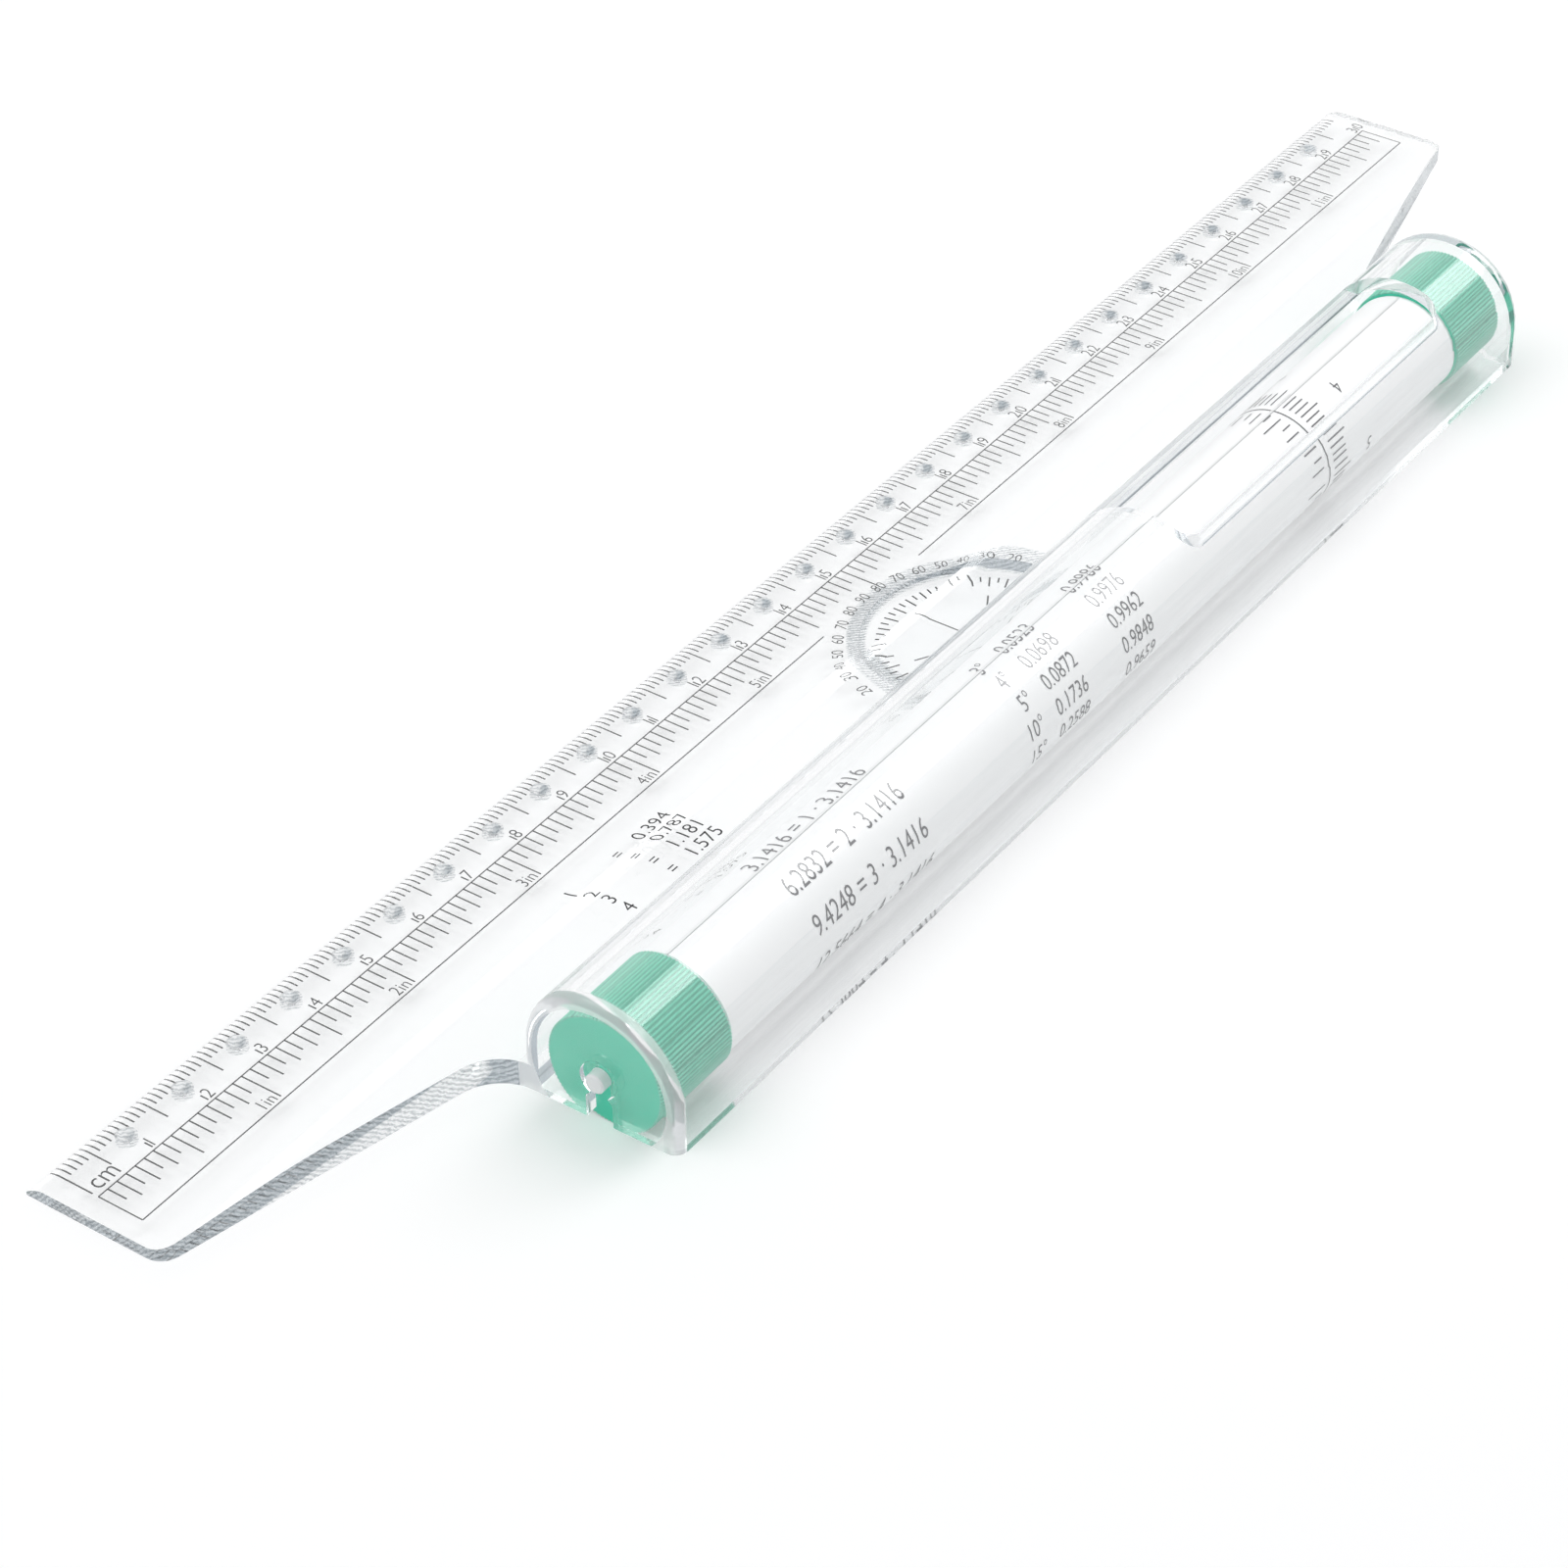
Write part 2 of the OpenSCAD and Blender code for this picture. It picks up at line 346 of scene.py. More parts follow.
@dataclass(frozen=True)
class CaughtLight:
    """Where grey mottled shade and reflections are painted into the clear moulding's colour,
    in millimetres, and how strongly.

    The places are the blade's side faces, the upper rim and the rear wall of the window,
    the housing's front wall and foot, the ring round the protractor and the pencil holes.
    """

    blade_y: float = -6.2
    edge_z: tuple[float, float] = (1.7, 5.95)
    edge_soft: float = 0.08
    edge_frost: float = 0.06
    edge_haze: float = 0.25
    window_x: tuple[float, float] = (17.2, 88.8)
    rim_y: tuple[float, float] = (-11.6, -8.7)
    rim_z: float = 15.6
    rim_half: float = 0.1
    rim_soft: float = 0.05
    wall_y: tuple[float, float] = (-9.6, -5.5)
    wall_z: tuple[float, float] = (11.8, 15.65)
    wall_soft: float = 0.3
    wall_share: float = 0.6
    front_y: float = -27.6
    front_share: float = 0.26
    foot_y: tuple[float, float] = (-30.1, -29.1)
    foot_z: tuple[float, float] = (1.7, 2.6)
    foot_soft: float = 0.15
    foot_share: float = 0.7
    ring_at: tuple[float, float] = (0.7, -3.5)
    ring_r: tuple[float, float] = (16.3, 18.5)
    ring_soft: float = 0.35
    hole_y: float = 25.7
    hole_r: float = 1.35
    hole_soft: float = 0.12
    hole_pitch: float = 10.0
    hole_frost: float = 0.45
    last_hole: float = 141.5
    end_x: float = 103.2
    end_soft: float = 0.3
    end_r: float = 10.0
    end_frost: float = 0.12
    end_haze: float = 0.5
    sideways: tuple[float, float] = (0.3, 0.25)
    upward: tuple[float, float] = (0.15, 0.1)
    soft: float = 0.1
    wave_share: float = 0.5
    spot_scale: float = 1.9
    spot_detail: float = 4.0
    spot_distortion: float = 1.2
    spot_share: float = 0.9
    mottle_range: tuple[float, float] = (0.4, 0.95)
    streak_scale: tuple[float, float, float] = (0.09, 1.5, 1.5)
    streak_detail: float = 3.0

    def build(self) -> bpy.types.NodeTree:
        """Builds the group: a painted grey, streaky mottling of shade and reflections on
        those places, clear elsewhere.

        Each place is a mask of the object's own coordinates and normal. The mottling is a
        distorted wave, for the chevrons in an edge seen through its length, and a noise.
        The window's rim and the front wall have long streaks instead. Frost is a
        roughness for the small moulded places, and Haze the share of scattered light in
        the blade's edges and the housing's end rims.

        Returns:
            The node group.
        """
        bench, inp, out = start_group(
            "caught_light", {"Clear": (0.98, 0.99, 1.0, 1.0), "Pale": (0.8, 0.8, 0.8, 1.0),
                             "Dark": (0.1, 0.1, 0.1, 1.0)},
            {"Color": COLOUR, "Frost": NUMBER, "Haze": NUMBER})
        coords = bench.add("ShaderNodeTexCoord")
        in_mm = bench.stretch(coords.outputs["Object"], (1 / MM, 1 / MM, 1 / MM))
        x, y, z = bench.add("ShaderNodeSeparateXYZ", {"Vector": in_mm}).outputs
        normal = bench.add("ShaderNodeSeparateXYZ", {"Vector": coords.outputs["Normal"]})
        tilt = normal.outputs["Z"]
        upward = bench.band(tilt, 1.0, *self.upward)
        on_blade = bench.math("GREATER_THAN", y, self.blade_y)
        in_window = bench.span(x, self.window_x, self.soft)
        edges = bench.times(bench.band(tilt, 0.0, *self.sideways), on_blade,
                            bench.span(z, self.edge_z, self.edge_soft))
        rim = bench.times(upward, bench.band(z, self.rim_z, self.rim_half, self.rim_soft),
                          bench.span(y, self.rim_y, self.soft), in_window)
        wall = bench.times(bench.span(z, self.wall_z, self.wall_soft),
                           bench.span(y, self.wall_y, self.soft), in_window)
        rim = bench.most(rim, bench.times(wall, self.wall_share))
        from_ring = bench.distance(x, y, self.ring_at)
        ring = bench.times(bench.span(from_ring, self.ring_r, self.ring_soft), on_blade,
                           upward)
        holes = self._holes(bench, x, y)
        front = bench.math("LESS_THAN", y, self.front_y)
        foot = bench.times(self.foot_share, bench.span(y, self.foot_y, self.foot_soft),
                           bench.span(z, self.foot_z, self.foot_soft))
        # Painted shade and reflections: in these places the mottled grey replaces the clear
        # tint.
        places = bench.most(edges, rim, ring, holes, foot,
                            bench.times(front, self.front_share))
        streaks = bench.noise(bench.stretch(in_mm, self.streak_scale), 1.0,
                              self.streak_detail)
        pattern = bench.blend(bench.most(rim, front), self._mottle(bench, in_mm), streaks,
                              kind="FLOAT")
        grey = bench.blend(pattern, inp.outputs["Dark"], inp.outputs["Pale"])
        housing_end = bench.times(
            bench.less(1.0, bench.band(x, 0.0, self.end_x, self.end_soft)),
            bench.math("LESS_THAN", y, self.blade_y),
            bench.math("GREATER_THAN", bench.distance(y, z, ROLLER_AXIS), self.end_r))
        bench.feed(out, {
            "Color": bench.blend(places, inp.outputs["Clear"], grey),
            "Frost": bench.most(bench.times(holes, self.hole_frost),
                                bench.times(housing_end, self.end_frost),
                                bench.times(edges, self.edge_frost)),
            "Haze": bench.most(bench.times(housing_end, self.end_haze),
                               bench.times(edges, self.edge_haze))})
        return bench.tree

    def _holes(self, bench: NodeBench, x: Socket, y: Socket) -> Socket:
        """Masks the row of holes: the place along one pitch repeats from hole to hole.

        Args:
            bench: The bench of the group.
            x: Place along the ruler.
            y: Place across it.

        Returns:
            The mask.
        """
        turn = bench.math("FRACT", bench.math(
            "ADD", bench.math("DIVIDE", x, self.hole_pitch), 0.5))
        along = bench.times(bench.less(turn, 0.5), self.hole_pitch)
        from_hole = bench.distance(along, y, (0.0, self.hole_y))
        return bench.times(bench.band(from_hole, 0.0, self.hole_r, self.hole_soft),
                           bench.band(x, 0.0, self.last_hole, self.soft))

    def _mottle(self, bench: NodeBench, place: Socket) -> Socket:
        """Makes streaks and spots between 0, dark, and 1, pale, of a place in mm.

        Args:
            bench: The bench of the group.
            place: The place in millimetres.

        Returns:
            The mottling.
        """
        wave = bench.add("ShaderNodeTexWave", {
            "Vector": place, "Scale": 0.8, "Distortion": 5.0, "Detail": 3.0,
            "Detail Scale": 1.6}, wave_type="BANDS", bands_direction="DIAGONAL")
        spots = bench.noise(place, self.spot_scale, self.spot_detail, self.spot_distortion)
        both = bench.math("ADD", bench.times(wave.outputs["Fac"], self.wave_share),
                          bench.times(spots, self.spot_share))
        return bench.spread(both, *self.mottle_range)


@dataclass(frozen=True)
class RibShade:
    """Where the wheels' ribs are, in millimetres, for the painted shade between them and the
    painted sheen on them.
    """

    count: int = 96
    rim_r: float = 8.15
    groove: float = 0.3
    groove_at: tuple[float, float] = (0.625, 0.12)
    groove_soft: float = 0.2
    unlike: float = 0.36
    unlike_power: float = 3.0
    worn: float = 0.16

    def build(self) -> bpy.types.NodeTree:
        """Builds the group: a painted sheen that makes the rim paler, painted shade in the
        grooves, and each rib darker by another random amount.

        The angle round the axle times the count of ribs over a full turn counts the ribs:
        its fraction says where on a rib a point is, its floor which rib it is.

        Returns:
            The node group.
        """
        bench, inp, out = start_group(
            "rib_shade", {"Plain": (0.5, 0.5, 0.5, 1.0)}, {"Color": COLOUR})
        _, y, z = bench.add("ShaderNodeSeparateXYZ", {"Vector": bench.here()}).outputs
        axis_y, axis_z = (place * MM for place in ROLLER_AXIS)
        on_rim = bench.math("GREATER_THAN", bench.distance(y, z, (axis_y, axis_z)),
                            self.rim_r * MM)
        turn = bench.math("ARCTAN2", bench.less(z, axis_z), bench.less(y, axis_y))
        ribs = bench.times(turn, self.count / math.tau)
        groove = bench.band(bench.math("FRACT", ribs), *self.groove_at, self.groove_soft)
        which = bench.add("ShaderNodeTexWhiteNoise", {"W": bench.math("FLOOR", ribs)},
                          noise_dimensions="1D").outputs["Value"]
        unlike = bench.times(bench.math("POWER", which, self.unlike_power), self.unlike)
        # Painted shade in the grooves, together with a random darker tone for each rib.
        deep = bench.most(bench.times(groove, self.groove), unlike)
        # Painted sheen: the rim's colour is mixed towards white.
        worn = bench.blend(bench.times(on_rim, self.worn), inp.outputs["Plain"], WHITE)
        shaded = bench.add("ShaderNodeVectorMath", {
            0: worn, "Scale": bench.less(1.0, bench.times(deep, on_rim))}, operation="SCALE")
        bench.feed(out, {"Color": shaded.outputs["Vector"]})
        return bench.tree


@dataclass
class Workshop:
    """The node groups that several finishes share, built once."""

    handling: bpy.types.NodeTree = field(default_factory=lambda: Handling().build())
    moulding: bpy.types.NodeTree = field(default_factory=lambda: Moulding().build())
    caught_light: bpy.types.NodeTree = field(default_factory=lambda: CaughtLight().build())
    ribs: bpy.types.NodeTree = field(default_factory=lambda: RibShade().build())


# ---------------------------------------------------------------- finishes


def start_material(name: str) -> tuple[bpy.types.Material, NodeBench, bpy.types.Node,
                                       bpy.types.Node]:
    """Makes a node material with a Principled shader on its output.

    Args:
        name: The material's name.

    Returns:
        The material, its bench, its Principled node and its output node.
    """
    material = bpy.data.materials.new(name)
    material.use_nodes = True
    material.node_tree.nodes.clear()
    bench = NodeBench(material.node_tree)
    shader = bench.add("ShaderNodeBsdfPrincipled")
    output = bench.add("ShaderNodeOutputMaterial", {"Surface": shader.outputs["BSDF"]})
    return material, bench, shader, output


@dataclass(frozen=True)
class ClearPlastic:
    """Clear colourless moulded acrylic."""

    tint: Colour = (0.993, 0.997, 0.998)
    # The pale and dark tones below are painted shade and reflections in the edges, rims,
    # ring, holes and front wall.
    edge_pale: Colour = (0.97, 0.98, 0.985)
    edge_dark: Colour = (0.36, 0.39, 0.41)
    roughness: float = 0.02
    smudge: float = 0.02
    smudge_scale: float = 45.0
    hairline: float = 0.05
    ior: float = 1.49
    lit_through: Colour = (0.994, 0.996, 0.997)
    lit_edge: Colour = (0.60, 0.63, 0.65)
    grazing: float = 0.25
    grazing_power: float = 3.0
    trapped_light: Colour = (0.76, 0.79, 0.81)
    inner_mirrors: int = 4
    faces: int = 10

    def make(self, shop: Workshop) -> bpy.types.Material:
        """Builds the material: glass for the eye, see-through for the lamps.

        Light that has been mirrored inside a few times, or has passed many faces, goes
        straight on as well, so that it ends on what lies behind and not in black. A share
        of plain scattering makes the haze of the edges and the end rims.

        Args:
            shop: The shared node groups.

        Returns:
            The material.
        """
        material, bench, glass, output = start_material("clear_acrylic")
        # The base colour carries painted shade and reflections: a grey mottling in the
        # edges, rims, ring, holes and front wall.
        refraction_paint = bench.add("ShaderNodeGroup", {
            "Clear": (*self.tint, 1.0), "Pale": (*self.edge_pale, 1.0),
            "Dark": (*self.edge_dark, 1.0)}, node_tree=shop.caught_light)
        wear = bench.add("ShaderNodeGroup", {
            "Plain": self.roughness, "Smudge": self.smudge, "Hairline": self.hairline,
            "Smudge Scale": self.smudge_scale}, node_tree=shop.handling)
        bench.feed(glass, {
            "Base Color": refraction_paint.outputs["Color"], "IOR": self.ior,
            "Transmission Weight": 1.0,
            "Roughness": bench.most(wear.outputs["Roughness"], refraction_paint.outputs["Frost"])})
        scatter = bench.add("ShaderNodeBsdfDiffuse", {"Color": refraction_paint.outputs["Color"]})
        hazy = bench.join(refraction_paint.outputs["Haze"], glass.outputs["BSDF"],
                          scatter.outputs["BSDF"])
        path = bench.add("ShaderNodeLightPath").outputs
        mirrored = bench.math("GREATER_THAN", path["Glossy Depth"], self.inner_mirrors - 0.5)
        long = bench.math("GREATER_THAN", path["Ray Depth"], self.faces - 0.5)
        trapped = bench.most(mirrored, long)
        facing = bench.add("ShaderNodeLayerWeight", {"Blend": self.grazing})
        grazing = bench.math("POWER", facing.outputs["Facing"], self.grazing_power)
        shade = bench.blend(grazing, (*self.lit_through, 1.0), (*self.lit_edge, 1.0))
        through = bench.add("ShaderNodeBsdfTransparent", {
            "Color": bench.blend(trapped, shade, (*self.trapped_light, 1.0))})
        straight = bench.most(path["Is Shadow Ray"], path["Is Diffuse Ray"], trapped)
        bench.feed(output, {"Surface": bench.join(straight, hazy, through.outputs["BSDF"])})
        return material


@dataclass(frozen=True)
class MouldedPlastic:
    """An opaque moulded plastic, satin or glossy."""

    name: str
    plain: Colour
    deep: Colour
    roughness: float
    smudge: float = 0.08
    smudge_scale: float = 70.0
    hairline: float = 0.04
    drift_scale: float = 90.0
    grain_scale: float = 2500.0
    grain: float = 0.05
    grain_depth: float = 0.02
    # Emission that makes the plastic glow as if more brightly lit: painted light.
    brightener: float = 0.0
    ribbed: bool = False

    def make(self, shop: Workshop) -> bpy.types.Material:
        """Builds the material from the shared groups.

        Args:
            shop: The shared node groups.

        Returns:
            The material.
        """
        material, bench, shader, _ = start_material(self.name)
        moulding = bench.add("ShaderNodeGroup", {
            "Plain Colour": (*self.plain, 1.0), "Deep Colour": (*self.deep, 1.0),
            "Drift Scale": self.drift_scale, "Grain Scale": self.grain_scale},
            node_tree=shop.moulding)
        colour = moulding.outputs["Color"]
        if self.ribbed:
            ribs = bench.add("ShaderNodeGroup", {"Plain": colour}, node_tree=shop.ribs)
            colour = ribs.outputs["Color"]
        wear = bench.add("ShaderNodeGroup", {
            "Plain": self.roughness, "Smudge": self.smudge, "Hairline": self.hairline,
            "Smudge Scale": self.smudge_scale}, node_tree=shop.handling)
        bump = bench.add("ShaderNodeBump", {
            "Strength": self.grain, "Distance": self.grain_depth * MM,
            "Height": moulding.outputs["Height"]})
        bench.feed(shader, {
            "Base Color": colour, "Roughness": wear.outputs["Roughness"],
            # Painted light: the emission makes the surface glow by itself.
            "Emission Color": (*self.plain, 1.0), "Emission Strength": self.brightener,
            "Normal": bump.outputs["Normal"]})
        return material


@dataclass(frozen=True)
class Ink:
    """Printing ink of one darkness, a little uneven as a much-used screen print is."""

    name: str
    dark: float
    pale: float
    blue: float = 1.04
    speckle_scale: float = 900.0
    speckle_detail: float = 2.0
    roughness: float = 0.55
    gloss: float = 0.2

    def make(self) -> bpy.types.Material:
        """Builds the ink's material.

        Returns:
            The material.
        """
        material, bench, shader, _ = start_material(self.name)
        tones = [(grey, grey, grey * self.blue, 1.0) for grey in (self.dark, self.pale)]
        speckle = bench.noise(bench.here(), self.speckle_scale, self.speckle_detail)
        bench.feed(shader, {
            "Base Color": bench.blend(speckle, *tones), "Roughness": self.roughness,
            "Specular IOR Level": self.gloss})
        return material


# ---------------------------------------------------------------- printing


class GlyphCutter:
    """Cuts words out of Blender's own font as flat meshes, each word once."""

    FIGURE_H = 0.73  # height of a figure in the font, for a size of one
    THIN = -0.006  # takes this from both sides of every stroke
    CURVE_STEPS = 3

    def __init__(self) -> None:
        """Starts with no words cut."""
        self._words: dict[str, tuple[np.ndarray, np.ndarray]] = {}

    def cut(self, word: str) -> tuple[np.ndarray, np.ndarray]:
        """Gives a word as triangles, its figures one unit high, from 0 along x.

        Args:
            word: The characters.

        Returns:
            Points (N, 2) and triangles (M, 3) of their indices.
        """
        if word not in self._words:
            curve = bpy.data.curves.new("word", "FONT")
            curve.body = word
            curve.resolution_u = self.CURVE_STEPS
            curve.offset = self.THIN
            carrier = bpy.data.objects.new("word", curve)
            bpy.context.scene.collection.objects.link(carrier)
            shape = carrier.evaluated_get(bpy.context.evaluated_depsgraph_get()).to_mesh()
            shape.calc_loop_triangles()
            points = np.empty(len(shape.vertices) * 3)
            shape.vertices.foreach_get("co", points)
            corners = np.empty(len(shape.loop_triangles) * 3, np.int64)
            shape.loop_triangles.foreach_get("vertices", corners)
            carrier.to_mesh_clear()
            bpy.data.objects.remove(carrier)
            bpy.data.curves.remove(curve)
            flat = points.reshape(-1, 3)[:, :2]
            flat[:, 0] -= flat[:, 0].min()
            self._words[word] = (flat / self.FIGURE_H, corners.reshape(-1, 3))
        return self._words[word]


@dataclass
class PrintSheet:
    """Printed marks laid out flat, in millimetres, before they go onto their surface."""

    cutter: ClassVar[GlyphCutter] = GlyphCutter()
    points: list[np.ndarray] = field(default_factory=list)
    triangles: list[np.ndarray] = field(default_factory=list)
    count: int = 0

    def _keep(self, points: np.ndarray, triangles: np.ndarray) -> None:
        """Adds points and the triangles between them."""
        self.points.append(points)
        self.triangles.append(triangles + self.count)
        self.count += len(points)

    def bars(self, starts: np.ndarray, ends: np.ndarray, width: float) -> None:
        """Draws straight bars.

        Each bar is a rectangle: its two end points moved by half the width to both
        sides, at a right angle to the bar.

        Args:
            starts: First end of each bar, (N, 2).
            ends: Second end of each bar, (N, 2).
            width: Width of the bars.
        """
        starts, ends = np.atleast_2d(starts).astype(float), np.atleast_2d(ends).astype(float)
        along = ends - starts
        along /= np.linalg.norm(along, axis=1, keepdims=True)
        side = np.stack([-along[:, 1], along[:, 0]], 1) * width / 2
        corners = np.stack([starts - side, ends - side, ends + side, starts + side], 1)
        base = np.arange(len(starts))[:, None] * 4
        faces = np.concatenate([base + [[0, 1, 2]], base + [[0, 2, 3]]])
        self._keep(corners.reshape(-1, 2), faces)

    def word(self, text: str, place: tuple[float, float], height: float,
             anchor: Anchor = Anchor.START, turn: float = 0.0, narrow: float = 0.85) -> None:
        """Writes figures.

        The cut word is scaled, moved so that the anchor share of its length lies on the
        place, and turned about that place.

        Args:
            text: The characters.
            place: Where the anchor's foot goes.
            height: Height of a figure.
            anchor: Which point of the word's length goes there.
            turn: Turn in degrees.
            narrow: Width of the figures against the font's own.
        """
        points, triangles = self.cutter.cut(text)
        points = points * (height * narrow, height)
        points[:, 0] -= points[:, 0].max() * anchor.value
        c, s = math.cos(math.radians(turn)), math.sin(math.radians(turn))
        self._keep(points @ np.array([[c, s], [-s, c]]) + place, triangles)

    def lay(self, name: str, onto: Callable[[np.ndarray], np.ndarray],
            slices: np.ndarray) -> bpy.types.Object:
        """Cuts the flat marks into narrow strips and lays them onto a surface.

        Args:
            name: The new piece's name.
            onto: Takes flat points (N, 2) to points in space (N, 3), in millimetres.
            slices: Heights across the sheet at which the marks are cut, so that they
                can follow a curved surface.

        Returns:
            The piece.
        """
        flat = np.concatenate(self.points)
        mesh = bpy.data.meshes.new(name)
        mesh.from_pydata(np.pad(flat, ((0, 0), (0, 1))).tolist(), [],
                         np.concatenate(self.triangles).tolist())
        work = bmesh.new()
        work.from_mesh(mesh)
        for height in slices:
            bmesh.ops.bisect_plane(
                work, geom=work.verts[:] + work.edges[:] + work.faces[:],
                plane_co=(0.0, float(height), 0.0), plane_no=(0.0, 1.0, 0.0))
        work.to_mesh(mesh)
        work.free()
        cut = np.empty(len(mesh.vertices) * 3)
        mesh.vertices.foreach_get("co", cut)
        placed = onto(cut.reshape(-1, 3)[:, :2]) * MM
        mesh.vertices.foreach_set("co", placed.ravel())
        mesh.update()
        piece = bpy.data.objects.new(name, mesh)
        bpy.context.scene.collection.objects.link(piece)
        return piece


UNCUT = np.empty(0)  # no slices, for print on a flat surface


def level(height: float, shift: tuple[float, float] = (0.0, 0.0)
          ) -> Callable[[np.ndarray], np.ndarray]:
    """Makes a function that lays flat points at one height, moved by a shift."""
    return lambda flat: np.column_stack([flat + shift, np.full(len(flat), height)])


def finish_piece(piece: bpy.types.Object, material: bpy.types.Material, body: Body) -> None:
    """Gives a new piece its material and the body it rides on.

    Args:
        piece: The piece.
        material: Its material.
        body: The body that it moves with.
    """
    piece.data.materials.clear()
    piece.data.materials.append(material)
    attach(piece, body.value)
    log.info("%s: %d faces, rides on %s", piece.name, len(piece.data.polygons), body.value)


# ---------------------------------------------------------------- the clear body


@dataclass
class RulerBody:
    """The clear blade and housing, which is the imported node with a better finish."""

    finish: ClearPlastic = ClearPlastic()
    weld: float = 0.002
    flat_angle: float = 1.0
    rim: float = 0.14
    rim_segments: int = 2
    rim_angle: float = 33.0
    flat_weight: int = 80

    def dress(self, shop: Workshop) -> None:
        """Gives the node clear plastic and small round rims.

        Args:
            shop: The shared node groups.
        """
        node = frame["nodes"]["ruler_body"]
        node.data.materials.clear()
        node.data.materials.append(self.finish.make(shop))
        for name, kind, values in (
                ("clean_normals", "NODES", {"node_group": self._clean_tree()}),
                ("join_flats", "DECIMATE", {
                    "decimate_type": "DISSOLVE",
                    "angle_limit": math.radians(self.flat_angle)}),
                ("round_rims", "BEVEL", {
                    "width": self.rim * MM, "segments": self.rim_segments,
                    "limit_method": "ANGLE", "angle_limit": math.radians(self.rim_angle),
                    "use_clamp_overlap": True, "miter_outer": "MITER_ARC"}),
                ("even_normals", "WEIGHTED_NORMAL", {
                    "mode": "FACE_AREA", "weight": self.flat_weight, "keep_sharp": False})):
            modifier = node.modifiers.new(name, kind)
            for field_name, value in values.items():
                setattr(modifier, field_name, value)
        log.info("ruler_body: clear plastic, rims of %.2f mm", self.rim)

    def _clean_tree(self) -> bpy.types.NodeTree:
        """Makes geometry nodes that drop the imported custom normals and weld the loose
        triangles.

        Returns:
            The node group.
        """
        tree = bpy.data.node_groups.new("clean_normals", "GeometryNodeTree")
        for way in ("INPUT", "OUTPUT"):
            tree.interface.new_socket("Geometry", in_out=way,
                                      socket_type="NodeSocketGeometry")
        bench = NodeBench(tree)
        inp = bench.add("NodeGroupInput")
        drop = bench.add("GeometryNodeRemoveAttribute", {
            "Geometry": inp.outputs[0], "Name": "custom_normal"})
        merge = bench.add("GeometryNodeMergeByDistance", {
            "Geometry": drop.outputs["Geometry"], "Distance": self.weld * MM})
        bench.add("NodeGroupOutput", {0: merge.outputs["Geometry"]})
        return tree


